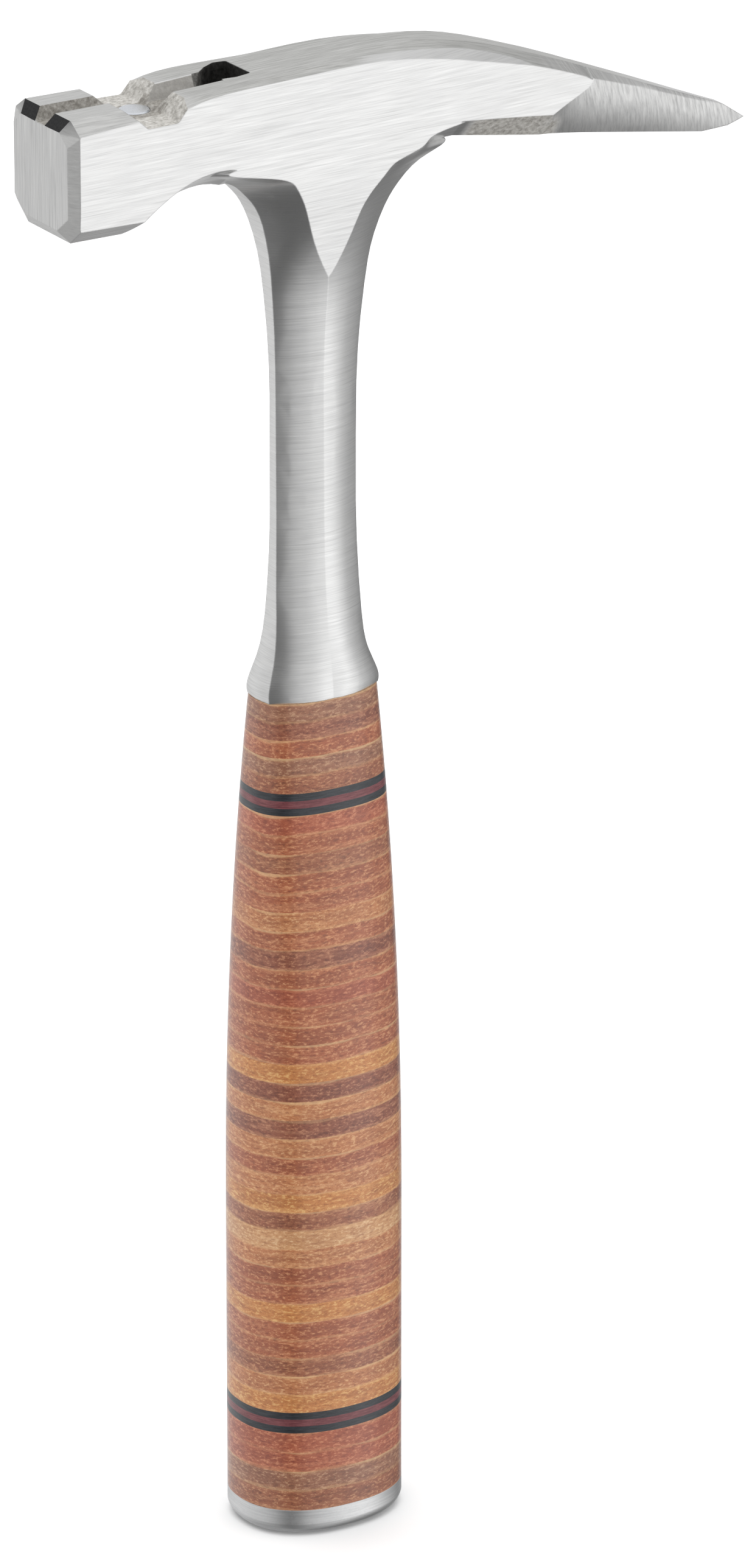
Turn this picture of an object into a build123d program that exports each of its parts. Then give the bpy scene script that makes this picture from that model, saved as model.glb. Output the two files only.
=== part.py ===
from build123d import *
import os
from math import cos, sin, pi

os.makedirs("parts", exist_ok=True)

# ---------------------------------------------------------------- driving dimensions, mm
# X runs along the head (striking face at -X, spike at +X), Z up the handle.
# The origin is on the handle axis, on the flat underside of the pommel.

GRIP_TOP = 180.0          # leather meets the steel shoulder
GRIP_LOW = 5.8            # leather meets the pommel
TAPER_FROM = 70.0         # the grip is a plain oval below this height
GRIP_X, GRIP_Y = 18.3, 14.9       # half sizes of the oval low on the grip
SHRINK_X, SHRINK_Y = 4.8, 6.7     # how much they lose by GRIP_TOP

FIBRE = 1.53              # one fibre washer
BAND_LOW = 23.2           # underside of the lower three-washer band
BAND_HIGH = 157.1         # underside of the upper one
LEATHER_LOW, LEATHER_MID, LEATHER_HIGH = 4, 32, 5    # leather washers in each run

TANG_X, TANG_Y = 12.0, 6.0
TANG_PLAY = 0.15          # gap round the tang

FACE_X = -61.0            # striking face
FACE_HALF = 12.5          # half of the square face
SIDE_TAPER = 0.056        # each side closes in by this much per mm along X
TOP_Z = 310.0             # top of the front ridges
BASE_Z = 285.3            # underside of the striking block
SEAM = 3.3                # half width of the trimmed seam strip round the forging

MAGNET_D, MAGNET_H = 6.4, 5.0
MAGNET_X, MAGNET_Y = -39.6, 0.8
MAGNET_PROUD = 0.3        # how far it stands above the floor
FLOOR_Z = 306.5           # floor of the nail trough
BEVEL_IN, BEVEL_BACK = 2.3, 1.8   # bevel round the striking face
RIVET_H = 2.4             # spread end of the tang in the pommel


def side(x):
    """half thickness of the ground head at x"""
    return FACE_HALF - SIDE_TAPER * (x - FACE_X)


# ---------------------------------------------------------------- grip sections

def oval(z, inset=0.0):
    """superellipse outline of the grip at height z"""
    t = max(0.0, (z - TAPER_FROM) / (GRIP_TOP - TAPER_FROM)) ** 2
    a = GRIP_X - SHRINK_X * t - inset
    b = GRIP_Y - SHRINK_Y * t - inset
    n = 2.25 + 0.35 * t
    pts = []
    for i in range(24):
        c, s = cos(i * pi / 12), sin(i * pi / 12)
        r = (abs(c) ** n + abs(s) ** n) ** (-1 / n)
        pts.append((a * c * r, b * s * r))
    with BuildSketch(Plane.XY.offset(z)) as sk:
        with BuildLine():
            Spline(*pts, periodic=True)
        make_face()
    return sk.sketch


def washer(z0, z1):
    """one washer of the stacked grip, with the slot for the tang"""
    with BuildPart() as p:
        loft([oval(z0), oval(z1)])
        with BuildSketch(Plane.XY.offset(z0)):
            RectangleRounded(TANG_X + 2 * TANG_PLAY, TANG_Y + 2 * TANG_PLAY, 1.0)
        extrude(amount=z1 - z0, mode=Mode.SUBTRACT)
    return p.part


def tang_end(z, grow):
    """cut through the spread end of the tang"""
    with BuildSketch(Plane.XY.offset(z)) as sk:
        RectangleRounded(TANG_X + 2 * grow, TANG_Y + 2 * grow, 1.0)
    return sk.sketch


# ---------------------------------------------------------------- head, as a loft from seam to side

def outline(plane, drop, arch):
    """side view of the head on a plane; drop lowers the rear top, arch lifts the underside"""
    under = [(58, 286.6 + 1.15 * arch), (44, 288.9 + 1.0 * arch), (30.5, 291.0 + 0.85 * arch)]
    foot = -46.6 - 0.35 * arch
    with BuildSketch(plane) as sk:
        with BuildLine():
            Line((FACE_X, BASE_Z), (FACE_X, TOP_Z))
            Line((FACE_X, TOP_Z), (-33, TOP_Z + 0.3))
            Spline((-33, TOP_Z + 0.3), (-10, 311.5), (6, 312.0), (18, 312.2 - 0.6 * drop),
                   (30, 310.8 - drop), (42, 307.4 - 1.1 * drop), (58, 301.6 - 0.9 * drop),
                   tangents=[(1, 0.05), (1, -0.4)])
            Line((58, 301.6 - 0.9 * drop), (95.8, 286.5 - 0.9 * drop))
            Line((95.8, 286.5 - 0.9 * drop), (101.3, 282.8))
            Line((101.3, 282.8), (97.5, 281.5))
            Line((97.5, 281.5), (91.5, 281.1))
            Line((91.5, 281.1), under[0])
            Spline(*under)
            Line(under[-1], (-23, 289.7 + 1.0 * arch))
            Spline((-23, 289.7 + 1.0 * arch), (-27, 290.4 + 0.95 * arch), (-33, 289.5 + 0.95 * arch),
                   (-40.5, 286.6 + 0.85 * arch), (foot, BASE_Z - 0.3))
            Line((foot, BASE_Z - 0.3), (FACE_X, BASE_Z))
        make_face()
    return sk.sketch


def side_plane(extra=0.0):
    """the ground side of the head, moved outward by extra"""
    return Plane(origin=(0, -side(0) - extra, 0), x_dir=(1, SIDE_TAPER, 0),
                 z_dir=(SIDE_TAPER, -1, 0))


with BuildPart() as near_half:
    loft([outline(Plane.XZ.offset(SEAM), 0.0, 0.0), outline(side_plane(0.5), 2.3, 5.2)], ruled=True)

with BuildPart() as seam_slab:
    with BuildSketch(Plane.XZ):
        add(outline(Plane.XY, 0.0, 0.0))
    extrude(amount=SEAM, both=True)


# ---------------------------------------------------------------- spike, ground to a point

def spike_section(x, top, flat, belly, base):
    """cut through the point of the spike at x: flat on top, widest just below, drawn in to a keel"""
    waist = top - 0.14 * (top - base)
    shoulder = ((flat + belly) / 2 + 0.1 * (belly - flat), (top + waist) / 2 + 0.12 * (top - waist))
    keel = 0.12 * belly
    with BuildSketch(Plane.YZ.offset(x)) as sk:
        with BuildLine():
            for sy in (1, -1):
                ThreePointArc((sy * flat, top), (sy * shoulder[0], shoulder[1]), (sy * belly, waist))
                TangentArc((sy * belly, waist), (sy * keel, base), tangent=(0, -1))
            Line((flat, top), (-flat, top))
            Line((keel, base), (-keel, base))
        make_face()
    return sk.sketch


with BuildPart() as spike:
    loft([
        spike_section(48, 307.6, 6.6, 12.5, 286.3),
        spike_section(54.6, 304.2, 4.3, 7.6, 285.8),
        spike_section(62.3, 300.6, 2.75, 5.6, 285.1),
        spike_section(70, 297.5, 2.4, 4.7, 284.0),
        spike_section(80, 293.5, 1.7, 3.5, 282.4),
        spike_section(90, 289.4, 0.9, 2.25, 280.8),
        spike_section(103, 284.2, 0.3, 0.8, 279.4),
    ])


# ---------------------------------------------------------------- neck and shank

LEAN_TOP, LEAN_KNEE, LEAN_FOOT = 294.0, 280.6, 257.0    # where the ground side leans in


def lean(z):
    """how far the ground side has come in at height z"""
    if z > LEAN_KNEE:
        return 0.9 * (max(0.0, LEAN_TOP - z) / (LEAN_TOP - LEAN_KNEE)) ** 2
    return 0.9 + 3.1 * (LEAN_KNEE - z) / (LEAN_KNEE - LEAN_FOOT)


def shank_section(z, left, right, strip, ridge, half, bow, crown=0.05):
    """lens cut through the shank: an end strip each side, bowed flanks, a ridge at x = ridge"""

    def flank(x, sx, sy):
        mx, my = (x + ridge) / 2, (strip + half) / 2
        return ThreePointArc((x, sy * strip), (mx + sx * 0.5 * bow, sy * (my + bow)),
                             (ridge, sy * half))

    with BuildSketch(Plane.XY.offset(z)) as sk:
        with BuildLine():
            ThreePointArc((left, -strip), (left - crown, 0), (left, strip))
            flank(left, -1, 1)
            flank(right, 1, 1)
            ThreePointArc((right, strip), (right + crown, 0), (right, -strip))
            flank(right, 1, -1)
            flank(left, -1, -1)
        make_face()
    return sk.sketch


def neck_section(z, left, right, strip, near, far, bow):
    """the same above the shank, aimed so that the ground side cuts its flanks at x = near and far"""
    rise = (side(near) - lean(z) - strip) / (near - left)
    fall = (side(far) - lean(z) - strip) / (right - far)
    ridge = (rise * left + fall * right) / (rise + fall)
    return shank_section(z, left, right, strip, ridge, strip + rise * (ridge - left) - 0.7 * bow, bow)


with BuildPart() as neck:
    loft([
        shank_section(180, -12.7, 12.8, 4.2, 0.0, 8.1, 1.2, 0.7),
        shank_section(184, -12.3, 12.2, 4.0, 0.1, 7.6, 1.2, 0.7),
        shank_section(188, -11.0, 10.8, 3.3, 0.2, 6.8, 1.0, 0.4),
        shank_section(194, -9.95, 10.1, 2.5, 0.3, 5.7, 0.8, 0.15),
        shank_section(202, -9.5, 9.8, 1.8, 0.3, 4.8, 0.7),
        shank_section(214, -9.1, 9.5, 1.3, 0.3, 4.3, 0.6),
        shank_section(232, -9.05, 9.5, 1.2, 0.3, 4.2, 0.6),
        shank_section(247, -9.1, 9.8, 1.2, 0.3, 4.2, 0.6),
        shank_section(257, -9.5, 10.5, 1.45, 0.3, 4.8, 0.6),
        shank_section(264, -10.05, 11.3, 1.7, 0.3, 5.7, 0.6),
        neck_section(272, -11.0, 12.7, 2.1, -2.2, 2.2, 0.6),
        neck_section(277, -12.1, 14.4, 2.5, -4.0, 4.2, 0.5),
        neck_section(281, -13.4, 16.4, 2.9, -5.3, 6.0, 0.4),
        neck_section(284.5, -15.3, 19.4, 3.0, -6.6, 8.6, 0.3),
        neck_section(287.5, -18.0, 23.6, 3.1, -8.2, 11.8, 0.2),
        neck_section(290.5, -24.0, 29.0, SEAM, -12.0, 18.0, 0.05),
        neck_section(294.5, -38.0, 44.0, SEAM, -23.0, 30.0, 0.05),
    ])
    extrude(neck.faces().sort_by(Axis.Z)[-1], amount=2.5)


# ---------------------------------------------------------------- the forged body in one piece

with BuildPart() as forged_body:
    add(near_half.part)
    mirror(about=Plane.XZ)
    add(seam_slab.part)
    with BuildPart(mode=Mode.PRIVATE) as point_cut:
        with Locations((80, 0, 290)):
            Box(60, 60, 60)
        add(spike.part, mode=Mode.SUBTRACT)
    add(point_cut.part, mode=Mode.SUBTRACT)
    add(neck.part)

    # both sides ground flat, leaning in below the head to run out on the ridge of the shank
    y = -side(0) - SIDE_TAPER * 75
    for sign in (1, -1):
        with BuildSketch(Plane.YZ.offset(-75), mode=Mode.PRIVATE) as waste:
            with BuildLine():
                Line((sign * y, 330), (sign * y, LEAN_TOP))
                ThreePointArc((sign * y, LEAN_TOP), (sign * (y + lean(287.3)), 287.3),
                              (sign * (y + lean(LEAN_KNEE)), LEAN_KNEE))
                Polyline((sign * (y + lean(LEAN_KNEE)), LEAN_KNEE),
                         (sign * (y + lean(LEAN_FOOT)), LEAN_FOOT),
                         (sign * (y - 20), LEAN_FOOT), (sign * (y - 20), 330), (sign * y, 330))
            make_face()
        extrude(waste.sketch, amount=190, dir=(1, sign * SIDE_TAPER, 0), mode=Mode.SUBTRACT)

    # long top edges dressed: broad and shallow at the face, narrow and steeper along the back
    for sign in (1, -1):
        edge = []
        for x, top, width, fall in ((-62, 310.0, 3.7, 2.6), (-34, 310.3, 3.6, 1.25),
                                    (-10, 311.5, 2.2, 0.8), (8, 311.9, 1.3, 1.15),
                                    (20, 311.0, 1.3, 1.45), (30, 309.1, 1.3, 1.5),
                                    (42, 306.0, 1.3, 1.25), (62, 298.9, 1.3, 0.95)):
            out = side(x)
            with BuildSketch(Plane.YZ.offset(x), mode=Mode.PRIVATE) as wedge:
                with BuildLine():
                    Polyline((sign * (out - 2 * width), top + fall),
                             (sign * (out + width), top - 2 * fall),
                             (sign * (out + width), top + 3 * fall),
                             (sign * (out - 2 * width), top + 3 * fall), close=True)
                make_face()
            edge.append(wedge.sketch)
        loft(edge[:2], ruled=True, mode=Mode.SUBTRACT)
        loft(edge[1:], mode=Mode.SUBTRACT)

    # lower edges of the striking block
    for sign in (1, -1):
        edge = []
        for x, width, fall in ((-62, 4.3, 3.4), (-40, 3.6, 2.6)):
            out = side(x)
            with BuildSketch(Plane.YZ.offset(x), mode=Mode.PRIVATE) as wedge:
                with BuildLine():
                    Polyline((sign * (out - 2 * width), BASE_Z - fall),
                             (sign * (out + width), BASE_Z + 2 * fall),
                             (sign * (out + width), BASE_Z - fall), close=True)
                make_face()
            edge.append(wedge.sketch)
        loft(edge, ruled=True, mode=Mode.SUBTRACT)

    # bevel round the striking face, none along its top
    with BuildPart(mode=Mode.PRIVATE) as bevel_cut:
        with Locations((FACE_X + BEVEL_BACK / 2 - 0.5, 0, (BASE_Z + TOP_Z) / 2)):
            Box(BEVEL_BACK + 1, 40, 40)
        cone = []
        for x, inset in ((FACE_X - 1, BEVEL_IN * (1 + 1 / BEVEL_BACK)), (FACE_X + BEVEL_BACK, 0.0)):
            a, low, high = FACE_HALF - inset, BASE_Z + inset, TOP_Z + 8.3 - inset
            with BuildSketch(Plane.YZ.offset(x), mode=Mode.PRIVATE) as octagon:
                with BuildLine():
                    Polyline((a, low + 3.4), (a, high - 10.9), (0, high - 2.1), (-a, high - 10.9),
                             (-a, low + 3.4), (-a + 4.3, low), (a - 4.3, low), close=True)
                make_face()
            cone.append(octagon.sketch)
        loft(cone, ruled=True, mode=Mode.SUBTRACT)
    add(bevel_cut.part, mode=Mode.SUBTRACT)

    # both front ridges slope back from the face
    with BuildSketch(Plane.XZ, mode=Mode.PRIVATE) as waste:
        with BuildLine():
            Polyline((FACE_X - 1, TOP_Z - 3.85), (FACE_X - 1, TOP_Z + 2), (FACE_X + 3.15, TOP_Z + 2),
                     close=True)
        make_face()
    extrude(waste.sketch, amount=20, both=True, mode=Mode.SUBTRACT)

    # nail groove, first through the front ridges, then behind the trough
    for x0, x1, half, floor in ((FACE_X - 1, -45, 2.9, 307.5), (-37, -22, 3.3, 307.2)):
        with BuildSketch(Plane.YZ.offset(x0), mode=Mode.PRIVATE) as waste:
            with BuildLine():
                Polyline((-half - 1.2, 313), (-half, 310), (-0.62 * half, floor),
                         (0.62 * half, floor), (half, 310), (half + 1.2, 313), close=True)
            make_face()
        extrude(waste.sketch, amount=x1 - x0, mode=Mode.SUBTRACT)

    # trough for the magnet, right across the head
    with BuildSketch(Plane.XZ, mode=Mode.PRIVATE) as waste:
        with BuildLine():
            sag = FilletPolyline((-50.0, 312.5), (-43.5, FLOOR_Z), (-36.6, FLOOR_Z), (-31.5, 312.5),
                                 radius=1.0)
            Line(sag @ 1, sag @ 0)
        make_face()
    extrude(waste.sketch, amount=20, both=True, mode=Mode.SUBTRACT)

    # pocket for the nail head
    with BuildSketch(Plane.XY.offset(TOP_Z - 4.5), mode=Mode.PRIVATE) as waste:
        with BuildLine():
            Polyline((-24.5, -2.3), (-19, -3.6), (-15.6, -3.2), (-15.6, 6.4), (-18.2, 7.0),
                     (-21.0, 5.6), (-24.5, 2.6), close=True)
        make_face()
        fillet(waste.vertices(), 0.6)
    extrude(waste.sketch, amount=10, mode=Mode.SUBTRACT)

    # seat for the magnet
    with Locations((MAGNET_X, MAGNET_Y, FLOOR_Z)):
        Cylinder(MAGNET_D / 2, 2 * (MAGNET_H - MAGNET_PROUD), mode=Mode.SUBTRACT)

    # tang, spread over the pommel at its end
    with BuildSketch(Plane.XY.offset(GRIP_TOP + 1)):
        RectangleRounded(TANG_X, TANG_Y, 0.9)
    extrude(amount=-(GRIP_TOP + 1 - RIVET_H))
    loft([tang_end(0.0, 1.15), tang_end(RIVET_H, 0.0)])


# ---------------------------------------------------------------- magnet, pommel, grip

with BuildPart() as magnet:
    with Locations((MAGNET_X, MAGNET_Y, FLOOR_Z - MAGNET_H + MAGNET_PROUD)):
        Cylinder(MAGNET_D / 2 - 0.04, MAGNET_H, align=(Align.CENTER, Align.CENTER, Align.MIN))
    chamfer(magnet.faces().sort_by(Axis.Z)[-1].edges(), 0.25)

with BuildPart() as pommel:
    loft([oval(2.6), oval(GRIP_LOW)])
    loft([oval(0.0, 2.3), oval(0.25, 1.55), oval(1.2, 0.55), oval(2.6)])
    with BuildSketch(Plane.XY):
        RectangleRounded(TANG_X + 2 * TANG_PLAY, TANG_Y + 2 * TANG_PLAY, 1.0)
    extrude(amount=GRIP_LOW, mode=Mode.SUBTRACT)
    loft([tang_end(0.0, 1.3), tang_end(RIVET_H, TANG_PLAY)], mode=Mode.SUBTRACT)

pieces = {"forged_body": forged_body.part, "nail_magnet": magnet.part, "pommel": pommel.part}

for band, z in (("low", BAND_LOW), ("high", BAND_HIGH)):
    for i, colour in enumerate(("black", "red", "black")):
        name = f"fibre_{band}_{i + 1}_{colour}"
        pieces[name] = washer(z + i * FIBRE, z + (i + 1) * FIBRE)

RUNS = (("low", LEATHER_LOW, GRIP_LOW, BAND_LOW),
        ("mid", LEATHER_MID, BAND_LOW + 3 * FIBRE, BAND_HIGH),
        ("high", LEATHER_HIGH, BAND_HIGH + 3 * FIBRE, GRIP_TOP))
for run, count, z0, z1 in RUNS:
    step = (z1 - z0) / count
    for i in range(count):
        pieces[f"leather_{run}_{i + 1:02d}"] = washer(z0 + i * step, z0 + (i + 1) * step)

for name, piece in pieces.items():
    piece.label = name
    export_step(piece, f"parts/{name}.step")
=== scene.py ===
"""Looks of the rock hammer: materials, floor, light and camera, in the frame of the CAD."""
import math

import bpy
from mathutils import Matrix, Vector


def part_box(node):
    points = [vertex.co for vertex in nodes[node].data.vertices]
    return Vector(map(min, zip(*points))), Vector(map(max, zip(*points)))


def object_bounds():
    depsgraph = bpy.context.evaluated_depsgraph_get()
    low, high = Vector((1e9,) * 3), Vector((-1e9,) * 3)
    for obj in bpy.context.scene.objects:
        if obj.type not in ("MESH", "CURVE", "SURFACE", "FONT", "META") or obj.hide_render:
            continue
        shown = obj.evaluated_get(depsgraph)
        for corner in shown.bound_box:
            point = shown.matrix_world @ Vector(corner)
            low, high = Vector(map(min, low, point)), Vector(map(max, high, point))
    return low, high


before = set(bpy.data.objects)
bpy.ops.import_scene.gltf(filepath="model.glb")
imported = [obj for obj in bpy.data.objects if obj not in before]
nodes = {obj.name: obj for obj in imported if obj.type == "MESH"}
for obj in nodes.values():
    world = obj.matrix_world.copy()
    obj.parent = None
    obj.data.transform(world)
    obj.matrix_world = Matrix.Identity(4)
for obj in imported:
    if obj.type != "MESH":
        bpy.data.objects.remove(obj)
cad_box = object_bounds()


# ------------------------------------------------------------------ node helpers

class Tree:
    """short calls for adding nodes to one tree"""

    def __init__(self, node_tree):
        self.nt = node_tree
        self.nt.nodes.clear()

    def put(self, socket, value):
        if hasattr(value, "is_linked") or hasattr(value, "links"):
            self.nt.links.new(value, socket)
        else:
            socket.default_value = value

    def node(self, kind, **props):
        n = self.nt.nodes.new(kind)
        for k, v in props.items():
            setattr(n, k, v)
        return n

    def math(self, op, a, b=0.0, c=0.0, clamp=False):
        n = self.node("ShaderNodeMath", operation=op, use_clamp=clamp)
        self.put(n.inputs[0], a)
        self.put(n.inputs[1], b)
        self.put(n.inputs[2], c)
        return n.outputs[0]

    def xyz(self, v):
        n = self.node("ShaderNodeSeparateXYZ")
        self.put(n.inputs[0], v)
        return n.outputs

    def join(self, x, y, z):
        n = self.node("ShaderNodeCombineXYZ")
        for i, v in enumerate((x, y, z)):
            self.put(n.inputs[i], v)
        return n.outputs[0]

    def step(self, v, lo, hi):
        """0 at lo and 1 at hi, smooth between and flat beyond; lo may be the larger"""
        n = self.node("ShaderNodeMapRange", interpolation_type="SMOOTHSTEP")
        self.put(n.inputs["Value"], v)
        flip = hi < lo
        n.inputs["From Min"].default_value = hi if flip else lo
        n.inputs["From Max"].default_value = lo if flip else hi
        n.inputs["To Min"].default_value = 1.0 if flip else 0.0
        n.inputs["To Max"].default_value = 0.0 if flip else 1.0
        return n.outputs[0]

    def remap(self, v, lo, hi, a, b):
        n = self.node("ShaderNodeMapRange", clamp=True)
        for key, val in (("Value", v), ("From Min", lo), ("From Max", hi), ("To Min", a), ("To Max", b)):
            self.put(n.inputs[key], val)
        return n.outputs[0]

    def mix(self, fac, a, b, kind="RGBA"):
        n = self.node("ShaderNodeMix", data_type=kind)
        first, result = (6, 2) if kind == "RGBA" else (2, 0)      # sockets of that data type
        for i, v in ((0, fac), (first, a), (first + 1, b)):
            self.put(n.inputs[i], v)
        return n.outputs[result]

    def over(self, base, colour, mask, strength=1.0):
        """colour laid over base where mask is 1"""
        if isinstance(colour, tuple):
            colour = (*colour, 1.0)
        if strength != 1.0:
            mask = self.math("MULTIPLY", mask, strength)
        return self.mix(mask, base, colour)

    def scaled(self, v, s):
        """vector v times s, axis by axis: the smaller s, the longer the grain that way"""
        n = self.node("ShaderNodeMapping")
        self.put(n.inputs["Vector"], v)
        n.inputs["Scale"].default_value = s
        return n.outputs[0]

    def noise(self, v, scale=1.0, detail=2.0, rough=0.5):
        n = self.node("ShaderNodeTexNoise")
        self.put(n.inputs["Vector"], v)
        n.inputs["Scale"].default_value = scale
        n.inputs["Detail"].default_value = detail
        n.inputs["Roughness"].default_value = rough
        return n.outputs["Fac"]

    def ramp(self, fac, stops):
        """stops: (position, colour), straight between them"""
        n = self.node("ShaderNodeValToRGB")
        el = n.color_ramp.elements
        while len(el) < len(stops):
            el.new(0.5)
        for e, (p, c) in zip(el, stops):
            e.position = p
            e.color = (*c, 1.0)
        self.put(n.inputs[0], fac)
        return n.outputs[0]

    def bump(self, height, distance, strength=1.0, normal=None):
        n = self.node("ShaderNodeBump")
        n.inputs["Strength"].default_value = strength
        n.inputs["Distance"].default_value = distance
        self.put(n.inputs["Height"], height)
        if normal is not None:
            self.put(n.inputs["Normal"], normal)
        return n.outputs[0]


class Skin(Tree):
    """the tree of one new material, with its shader"""

    def __init__(self, name):
        self.mat = bpy.data.materials.new(name)
        self.mat.use_nodes = True
        super().__init__(self.mat.node_tree)
        out = self.node("ShaderNodeOutputMaterial")
        self.bsdf = self.node("ShaderNodeBsdfPrincipled")
        self.put(out.inputs["Surface"], self.bsdf.outputs[0])
        self.pos = self.node("ShaderNodeTexCoord").outputs["Object"]
        self.nor = self.node("ShaderNodeNewGeometry").outputs["Normal"]

    def in_mm(self):
        """the place on the surface, in the CAD's millimetres"""
        n = self.node("ShaderNodeVectorMath", operation="SCALE")
        self.put(n.inputs[0], self.pos)
        n.inputs["Scale"].default_value = 1000.0
        return n.outputs["Vector"]

    def round_edges(self, radius):
        """normal that blends sharp edges over radius"""
        n = self.node("ShaderNodeBevel", samples=4)
        n.inputs["Radius"].default_value = radius
        return n.outputs[0]


def dress(node, mat):
    """gives a CAD node this material all over"""
    o = nodes[node]
    if not o.material_slots:
        o.data.materials.append(mat)
    for s in o.material_slots:
        s.material = mat


# ------------------------------------------------------------------ forged steel and its finishes

# places on the head, mm: x along it with the face at the low end, half widths across, z up
FACE_X, BEVEL_END = cad_box[0][0] * 1000, -59.05
TROUGH_X, TROUGH_FLOOR = (-47.9, -33.1), 307.05
TOP_BEND, TOP_SLOPE = -33.0, 0.055                   # the top rises from there toward the point
GROOVE_END, GROOVE_HALF, GROOVE_TOP, GROOVE_FLOOR = -22.0, 4.45, 310.1, 308.4
POCKET_X, POCKET_HALF, POCKET_TOP, POCKET_FLOOR = (-25.0, -15.2), 7.8, 311.2, 307
SOOT_X = (-20.5, -24.0)                              # thick soot to the right, thin to the left
TIP_FROM, TIP_ALL_ROUND = 50.5, 62.5
UNDER_X = (33, 55)                                   # rough underside between neck and point

BEVEL_GREY = (0.55, 0.55, 0.54)
HAZE = (0.62, 0.62, 0.63)
SIDE_STEEL = [(0.25, (0.60, 0.60, 0.595)), (0.5, (0.76, 0.76, 0.755)), (0.75, (0.87, 0.87, 0.86))]
TOP_STEEL = [(0.3, (0.40, 0.40, 0.38)), (0.55, (0.62, 0.62, 0.60)), (0.75, (0.80, 0.80, 0.78))]
FACE_STEEL = [(0.3, (0.50, 0.50, 0.50)), (0.7, (0.74, 0.74, 0.73))]
TIP_STEEL = [(0.3, (0.50, 0.50, 0.50)), (0.55, (0.76, 0.76, 0.75)), (0.75, (0.92, 0.92, 0.91))]
PALE_SKIN = [(0.3, (0.26, 0.25, 0.23)), (0.5, (0.50, 0.485, 0.455)), (0.7, (0.68, 0.67, 0.645))]
DARK_SKIN = [(0.3, (0.17, 0.158, 0.14)), (0.5, (0.31, 0.295, 0.27)), (0.7, (0.50, 0.485, 0.455))]
WALL_SKIN = (0.50, 0.49, 0.47)
SOOT = [(0.35, (0.012, 0.012, 0.011)), (0.65, (0.06, 0.058, 0.054))]
THIN_SOOT = [(0.35, (0.08, 0.078, 0.073)), (0.65, (0.26, 0.255, 0.24))]
# flat black for the top facets of the front end, set by their place; what makes them look dark is not
# known
FRONT_FACET_BLACK = (0.015, 0.015, 0.016)


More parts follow.
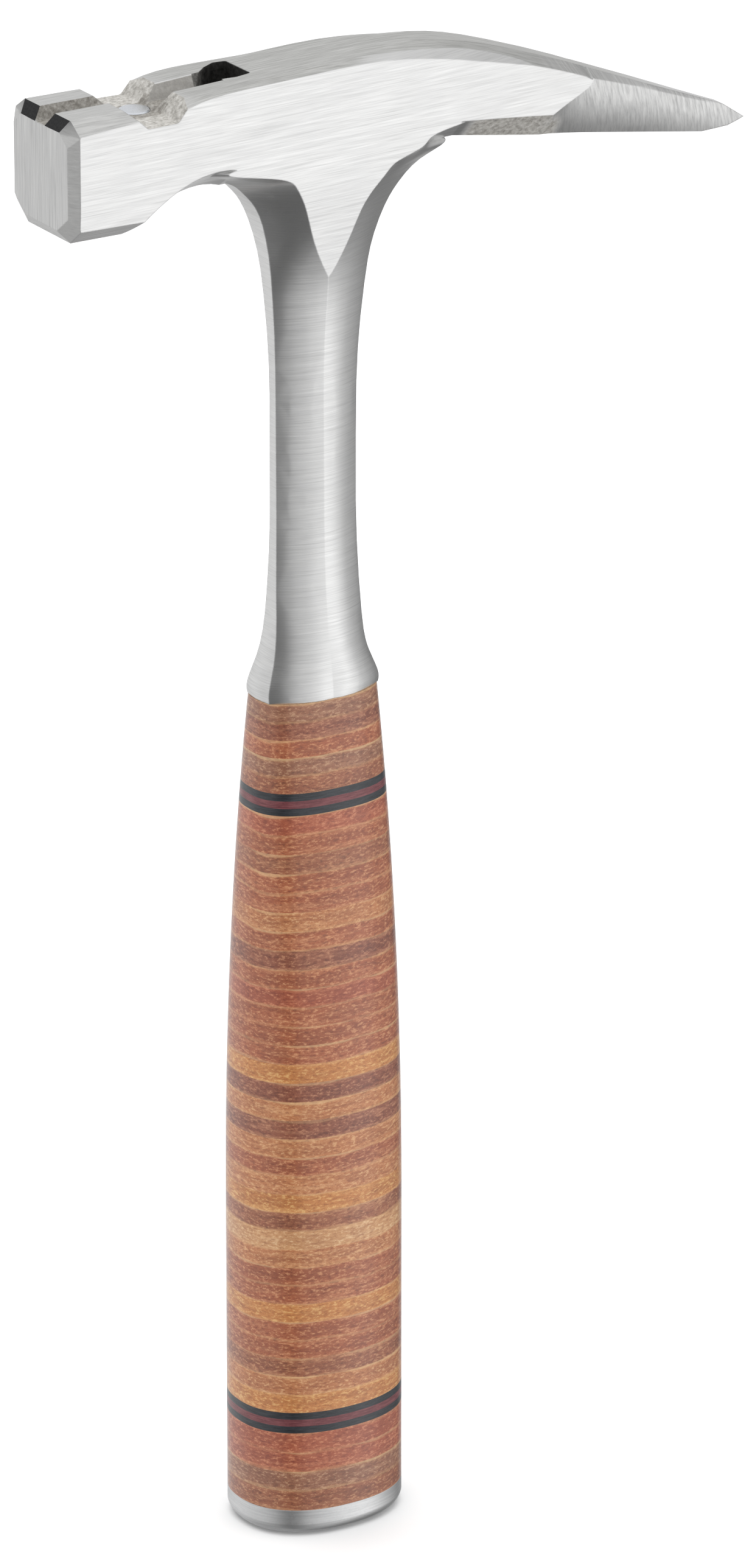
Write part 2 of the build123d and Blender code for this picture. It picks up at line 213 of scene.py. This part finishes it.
def steel():
    """one metal whose finish depends on where on the forging a spot lies"""
    t = Skin("forged_steel")
    mm = t.in_mm()
    x, y, z = t.xyz(mm)
    nx, ny, nz = t.xyz(t.nor)
    ax, ay = t.math("ABSOLUTE", nx), t.math("ABSOLUTE", ny)
    yy = t.math("ABSOLUTE", y)

    def above(v, edge, soft=0.15):
        return t.step(v, edge - soft, edge + soft)

    def below(v, edge, soft=0.15):
        return t.step(v, edge + soft, edge - soft)

    def both(*masks):
        out = masks[0]
        for m in masks[1:]:
            out = t.math("MULTIPLY", out, m)
        return out

    def either(*masks):
        out = masks[0]
        for m in masks[1:]:
            out = t.math("MAXIMUM", out, m)
        return out

    def within(v, ends, soft=0.15):
        return both(above(v, ends[0], soft), below(v, ends[1], soft))

    # where each finish is, from the place and the way the surface faces
    high = above(z, 304.5, 0.5)
    face = both(below(nx, -0.925, 0.025), below(x, FACE_X + 0.3, 0.2))
    front = below(x, BEVEL_END)
    bevel = both(front, below(nx, -0.375, 0.075), above(nx, -0.905, 0.025))
    front_top = both(front, above(nz, 0.425, 0.075), above(z, 307.4, 0.2), below(nx, -0.5, 0.1))
    trough = both(within(x, TROUGH_X), below(ay, 0.675, 0.075),
                  either(below(z, TROUGH_FLOOR), above(ax, 0.425, 0.075)), high)
    past_bend = t.math("MAXIMUM", t.math("SUBTRACT", x, TOP_BEND), 0.0)
    level_z = t.math("MULTIPLY_ADD", past_bend, -TOP_SLOPE, z)
    groove = both(below(x, GROOVE_END, 0.2), above(x, FACE_X + 0.25), below(yy, GROOVE_HALF),
                  below(level_z, GROOVE_TOP, 0.1), high,
                  either(above(ay, 0.325, 0.075), below(z, GROOVE_FLOOR, 0.2)))
    far_wall = both(groove, below(ny, -0.4, 0.1), above(x, -39, 1))
    pocket = both(within(x, POCKET_X, 0.1), below(yy, POCKET_HALF, 0.2), below(z, POCKET_TOP, 0.2),
                  either(below(nz, 0.6, 0.1), below(z, POCKET_FLOOR, 0.5)), high)
    top = both(above(nz, 0.76, 0.06), above(z, 295, 5))
    tip = both(above(x, TIP_FROM, 1.5), below(nz, 0.82, 0.04),
               either(above(x, TIP_ALL_ROUND, 1), below(ay, 0.987, 0.005)))
    under = both(within(x, UNDER_X, 1.5), below(nz, -0.485, 0.065), above(z, 277.5, 7.5))
    forged = either(trough, groove, under)
    matt = either(forged, pocket, front_top)

    # grinding lines: along the head on its sides and top, round the shank, upright on the face,
    # level on the bevel, aslant on the point
    coarse = t.noise(t.scaled(mm, (0.06, 0.06, 1.7)), 1.0, 3.0, 0.6)
    fine = t.noise(t.scaled(mm, (0.10, 0.15, 5.5)), 1.0, 3.0, 0.6)
    side_lines = t.math("ADD", t.math("MULTIPLY", coarse, 0.3), t.math("MULTIPLY", fine, 0.7))
    top_lines = t.noise(t.scaled(mm, (0.12, 3.2, 0.2)), 1.0, 4.0, 0.7)
    face_lines = t.noise(t.scaled(mm, (0.0, 2.6, 0.06)), 1.0, 4.0, 0.75)
    bevel_lines = t.noise(t.scaled(mm, (0.2, 0.4, 3.0)), 1.0, 3.0, 0.7)
    slant = t.math("MULTIPLY_ADD", z, 0.55, t.math("MULTIPLY", x, 1.9))
    tip_lines = t.noise(t.join(slant, 0.0, t.math("MULTIPLY", z, 0.22)), 1.0, 4.0, 0.7)
    lines = side_lines
    for mask, other in ((top, top_lines), (tip, tip_lines), (face, face_lines), (bevel, bevel_lines)):
        lines = t.mix(mask, lines, other, "FLOAT")

    # as-forged skin, scaly and pitted, and a haze over the ground steel
    scales = t.noise(mm, 1.1, 6.0, 0.66)
    pits = t.noise(mm, 2.4, 3.0, 0.6)
    mottle = t.noise(mm, 0.09, 3.0, 0.6)

    tone = t.ramp(lines, SIDE_STEEL)
    tone = t.over(tone, HAZE, t.step(mottle, 0.35, 0.7), 0.12)
    tone = t.over(tone, t.ramp(top_lines, TOP_STEEL), both(top, t.remap(x, -34.0, -30.0, 0.35, 0.75)))
    tone = t.over(tone, t.ramp(face_lines, FACE_STEEL), face, 0.6)
    tone = t.over(tone, BEVEL_GREY, bevel, 0.5)
    tone = t.over(tone, t.ramp(tip_lines, TIP_STEEL), tip, 0.55)
    skin = t.over(t.ramp(scales, PALE_SKIN), t.ramp(scales, DARK_SKIN),
                  either(groove, t.math("MULTIPLY", under, 0.4)))
    tone = t.over(tone, skin, forged)
    tone = t.over(tone, WALL_SKIN, far_wall, 0.6)
    soot = t.over(t.ramp(scales, SOOT), t.ramp(scales, THIN_SOOT), t.step(x, *SOOT_X))
    tone = t.over(tone, soot, pocket)
    # flat black laid by place on the top facets of the front end, where they look dark; what makes them
    # dark is not known
    tone = t.over(tone, FRONT_FACET_BLACK, front_top)
    t.put(t.bsdf.inputs["Base Color"], tone)
    t.put(t.bsdf.inputs["Metallic"], t.math("SUBTRACT", 1.0, t.math("MULTIPLY", matt, 0.55)))

    rough = t.remap(lines, 0.25, 0.75, 0.36, 0.25)
    rough = t.mix(either(face, tip, top), rough, t.remap(lines, 0.25, 0.75, 0.5, 0.34), "FLOAT")
    rough = t.mix(matt, rough, t.remap(pits, 0.3, 0.7, 0.75, 0.5), "FLOAT")
    t.put(t.bsdf.inputs["Roughness"], rough)

    height = t.mix(forged, t.math("MULTIPLY", lines, 0.35),
                   t.math("ADD", scales, t.math("MULTIPLY", pits, 0.4)), "FLOAT")
    height = t.mix(tip, height, t.math("MULTIPLY", lines, 0.9), "FLOAT")
    t.put(t.bsdf.inputs["Normal"], t.bump(height, 0.00012, 0.55, t.round_edges(0.00035)))
    return t.mat


# ------------------------------------------------------------------ leather, fibre, pommel, magnet

TONES = {       # body colour, fibre flecks, dark pores
    "rust": ((0.355, 0.092, 0.032), (0.66, 0.32, 0.15), (0.155, 0.033, 0.012)),
    "red": ((0.355, 0.080, 0.031), (0.64, 0.26, 0.13), (0.168, 0.027, 0.011)),
    "tan": ((0.465, 0.170, 0.058), (0.72, 0.42, 0.20), (0.225, 0.060, 0.019)),
    "ochre": ((0.510, 0.190, 0.046), (0.75, 0.46, 0.17), (0.265, 0.080, 0.018)),
    "pale": ((0.540, 0.270, 0.110), (0.77, 0.53, 0.30), (0.300, 0.110, 0.042)),
    "plum": ((0.250, 0.070, 0.033), (0.54, 0.25, 0.13), (0.105, 0.024, 0.012)),
    "brown": ((0.300, 0.090, 0.037), (0.58, 0.29, 0.14), (0.120, 0.031, 0.013)),
    "grey": ((0.290, 0.112, 0.056), (0.56, 0.33, 0.19), (0.135, 0.046, 0.025)),
}
GILT = (0.60, 0.31, 0.12)       # paler rims of each washer
SEAM_LINE = (0.66, 0.44, 0.22)
SEAMS = (0.14, 0.40, 0.26)      # how clearly the seams show, washer by washer


def blend(a, b, part):
    """colour a with that part of it changed for b"""
    return tuple((1 - part) * p + part * q for p, q in zip(a, b))


def leather(name, z0, z1, tone, seam):
    """lacquered edge of one leather washer between z0 and z1, in metres"""
    body, fleck, pore = TONES[tone]
    t = Skin(name)
    mm = t.in_mm()
    x, y, z = t.xyz(mm)
    wave = t.noise(t.scaled(mm, (0.07, 0.07, 0.02)), 1.0, 2.0, 0.5)
    waved = t.math("MULTIPLY_ADD", t.math("SUBTRACT", wave, 0.5), 2.6, z)
    v = t.remap(waved, z0 * 1000, z1 * 1000, 0.0, 1.0)
    # curly fibres lying along the cut edge
    curl = t.noise(t.scaled(mm, (0.8, 0.8, 1.5)), 1.0, 3.0, 0.6)
    warp = t.math("MULTIPLY", t.math("SUBTRACT", curl, 0.5), 1.4)
    fib = t.noise(t.join(t.math("MULTIPLY_ADD", x, 0.9, warp), t.math("MULTIPLY_ADD", y, 0.9, warp),
                         t.math("MULTIPLY_ADD", z, 2.3, warp)), 1.0, 5.0, 0.72)
    along = t.join(t.math("MULTIPLY", x, 0.05), t.math("MULTIPLY", y, 0.05), waved)
    streak = t.noise(along, 1.0, 4.0, 0.65)
    patch = t.noise(t.scaled(mm, (0.10, 0.10, 0.16)), 1.0, 3.0, 0.6)
    # across the washer: its middle, its two edges, and the thin lines at the seams
    off = t.math("ABSOLUTE", t.math("SUBTRACT", v, 0.5))
    core = t.math("MULTIPLY", t.step(off, 0.46, 0.16), t.step(patch, 0.42, 0.60))
    rim = t.math("MULTIPLY", t.step(off, 0.32, 0.50), t.remap(patch, 0.35, 0.65, 1.0, 0.35))
    low_line = t.math("MULTIPLY", t.step(v, 0.08, 0.02), 0.4)
    line = t.math("ADD", t.step(v, 0.92, 0.985), low_line, clamp=True)
    col = (*body, 1.0)
    for colour, mask, strength in (
            (blend(body, fleck, 0.4), t.step(streak, 0.50, 0.64), 0.65),
            (blend(body, pore, 0.55), t.step(streak, 0.47, 0.34), 0.6),
            (blend(body, pore, 0.65), core, 0.42),
            (GILT, rim, seam),
            (pore, t.step(fib, 0.47, 0.38), 0.6),
            (fleck, t.step(fib, 0.53, 0.60), 0.62),
            (SEAM_LINE, line, seam)):
        col = t.over(col, colour, mask, strength)
    t.put(t.bsdf.inputs["Base Color"], col)
    t.put(t.bsdf.inputs["Roughness"], t.remap(fib, 0.3, 0.7, 0.50, 0.40))
    t.bsdf.inputs["Coat Weight"].default_value = 0.9
    t.bsdf.inputs["Coat Roughness"].default_value = 0.14
    height = t.math("ADD", t.math("MULTIPLY", fib, 0.5), streak)
    t.put(t.bsdf.inputs["Normal"], t.bump(height, 0.00005, 0.35))
    return t.mat


def fibre(name, dark, light):
    """vulcanised fibre, faintly streaked round the grip"""
    t = Skin(name)
    mm = t.in_mm()
    streak = t.noise(t.scaled(mm, (0.35, 0.35, 4.5)), 1.0, 4.0, 0.7)
    grain = t.noise(mm, 3.0, 3.0, 0.6)
    col = t.mix(t.step(streak, 0.38, 0.68), (*dark, 1), (*light, 1))
    col = t.over(col, light, t.step(grain, 0.5, 0.7), 0.3)
    t.put(t.bsdf.inputs["Base Color"], col)
    t.put(t.bsdf.inputs["Roughness"], t.remap(grain, 0.3, 0.7, 0.42, 0.32))
    t.bsdf.inputs["Coat Weight"].default_value = 0.5
    t.bsdf.inputs["Coat Roughness"].default_value = 0.18
    t.put(t.bsdf.inputs["Normal"], t.bump(t.math("ADD", streak, grain), 0.00004, 0.3))
    return t.mat


def satin_aluminium():
    """brushed round the handle, with fine specks"""
    t = Skin("satin_aluminium")
    mm = t.in_mm()
    turn = t.noise(t.scaled(mm, (0.12, 0.12, 2.8)), 1.0, 4.0, 0.65)
    grain = t.noise(mm, 2.6, 3.0, 0.6)
    col = t.ramp(turn, [(0.3, (0.66, 0.665, 0.67)), (0.7, (0.82, 0.82, 0.82))])
    col = t.over(col, (0.58, 0.585, 0.59), t.step(grain, 0.5, 0.72), 0.2)
    t.put(t.bsdf.inputs["Base Color"], col)
    t.bsdf.inputs["Metallic"].default_value = 1.0
    t.put(t.bsdf.inputs["Roughness"], t.remap(grain, 0.3, 0.7, 0.34, 0.44))
    height = t.math("ADD", turn, t.math("MULTIPLY", grain, 0.5))
    t.put(t.bsdf.inputs["Normal"], t.bump(height, 0.00006, 0.3, t.round_edges(0.0003)))
    return t.mat


def plated_magnet():
    """bright nickel, a little hazy"""
    t = Skin("nickel_magnet")
    mm = t.in_mm()
    specks = t.noise(mm, 3.2, 4.0, 0.7)
    haze = t.noise(mm, 0.7, 2.0, 0.5)
    col = t.ramp(specks, [(0.35, (0.74, 0.77, 0.82)), (0.65, (0.84, 0.87, 0.92))])
    t.put(t.bsdf.inputs["Base Color"], col)
    t.bsdf.inputs["Metallic"].default_value = 1.0
    t.put(t.bsdf.inputs["Roughness"], t.remap(haze, 0.3, 0.7, 0.16, 0.30))
    t.put(t.bsdf.inputs["Normal"], t.bump(specks, 0.00004, 0.25))
    return t.mat


dress("forged_body", steel())
dress("nail_magnet", plated_magnet())
dress("pommel", satin_aluminium())
black = fibre("fibre_black", (0.012, 0.014, 0.018), (0.032, 0.036, 0.044))
red = fibre("fibre_red", (0.115, 0.020, 0.027), (0.210, 0.058, 0.064))

WASHERS = {     # tones of each run, from its lowest washer up
    "low": "brown grey red red",
    "mid": "ochre tan brown rust rust ochre rust rust tan pale brown ochre tan rust tan plum "
           "tan plum ochre rust rust rust red rust plum rust tan rust rust brown rust red",
    "high": "brown grey rust plum grey",
}
for run, tones in WASHERS.items():
    for i, tone in enumerate(tones.split()):
        name = f"leather_{run}_{i + 1:02d}"
        lo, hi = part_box(name)
        dress(name, leather(name + "_skin", lo.z, hi.z, tone, SEAMS[i % 3]))
for name in nodes:
    if name.startswith("fibre"):
        dress(name, black if name.endswith("black") else red)


# ------------------------------------------------------------------ floor, light, camera

def floor():
    bpy.ops.mesh.primitive_plane_add(size=8, location=(0, 0, -0.0001))
    o = bpy.context.object
    o.name = "floor"
    t = Skin("pale_floor")
    cloud = t.noise(t.pos, 3.0, 2.0)
    t.put(t.bsdf.inputs["Base Color"], t.mix(cloud, (0.90, 0.90, 0.90, 1), (0.92, 0.92, 0.92, 1)))
    t.bsdf.inputs["Roughness"].default_value = 0.9
    t.bsdf.inputs["Specular IOR Level"].default_value = 0.0
    o.data.materials.append(t.mat)
    o.visible_glossy = False        # the room alone is mirrored in the steel


# brightness of the room round the object: degrees from the front toward the point, level
LEVELS = ((-180, 0.74), (-148, 0.86), (-125, 0.74), (-100, 0.70), (-82, 0.66), (-71, 0.56),
          (-58, 0.38), (-50, 0.20), (-43, 0.10), (-37, 0.08), (-31, 0.14), (-24, 0.34), (-17, 0.56),
          (-8, 0.68), (8, 0.78), (22, 0.98), (32, 1.22), (40, 1.32), (48, 1.15), (62, 0.68),
          (76, 0.50), (88, 0.42), (97, 0.24), (108, 0.16), (125, 0.45), (140, 0.72), (180, 0.74))
OVERHEAD = 0.84                 # level of the room above, whatever the direction
DEGREES = 57.2958               # in a radian


def studio():
    """light from all round: bright panels, dark gaps between them, dimmer below"""
    world = bpy.data.worlds.new("studio")
    bpy.context.scene.world = world
    world.use_nodes = True
    t = Tree(world.node_tree)
    out = t.node("ShaderNodeOutputWorld")
    bg = t.node("ShaderNodeBackground")
    t.put(out.inputs["Surface"], bg.outputs[0])
    x, y, z = t.xyz(t.node("ShaderNodeTexCoord").outputs["Generated"])
    turn = t.math("MULTIPLY", t.math("ARCTAN2", x, t.math("MULTIPLY", y, -1.0)), DEGREES)
    level = t.ramp(t.remap(turn, -180.0, 180.0, 0.0, 1.0),
                   [((deg + 180.0) / 360.0, (v, v, v)) for deg, v in LEVELS])
    strength = t.mix(t.step(z, 0.25, 0.85), level, OVERHEAD, "FLOAT")
    strength = t.mix(t.step(z, -0.5, -0.85), strength, t.math("MULTIPLY", level, 0.5), "FLOAT")
    t.put(bg.inputs["Strength"], strength)
    bg.inputs["Color"].default_value = (1.0, 1.0, 1.0, 1)


def lamp(name, place, aim, size, power):
    """soft area light that is not itself mirrored in the metal"""
    data = bpy.data.lights.new(name, "AREA")
    data.shape = "RECTANGLE"
    data.size, data.size_y = size
    data.energy = power
    o = bpy.data.objects.new(name, data)
    o.location = place
    o.rotation_euler = (Vector(aim) - Vector(place)).to_track_quat("-Z", "Y").to_euler()
    o.visible_glossy = False
    bpy.context.scene.collection.objects.link(o)


floor()
studio()
lamp("overhead", (0.0, 0.2, 2.4), (0, 0, 0.1), (3.0, 3.0), 60)

scene = bpy.context.scene
scene.view_settings.view_transform = "Standard"

# camera: 31.8 degrees to the left of the head's side, 21.2 above, far off with a long lens
TURN, RISE, AWAY = math.radians(31.76), math.radians(21.17), 1.9487
AIM = Vector((0.01541, 0, 0.1559))
back = Vector((-math.sin(TURN) * math.cos(RISE), -math.cos(TURN) * math.cos(RISE), math.sin(RISE)))
data = bpy.data.cameras.new("camera")
data.lens = 221.9
data.clip_start, data.clip_end = 0.05, 50
cam = bpy.data.objects.new("camera", data)
cam.location = AIM + back * AWAY
cam.rotation_euler = back.to_track_quat("Z", "Y").to_euler()
scene.collection.objects.link(cam)
scene.camera = cam
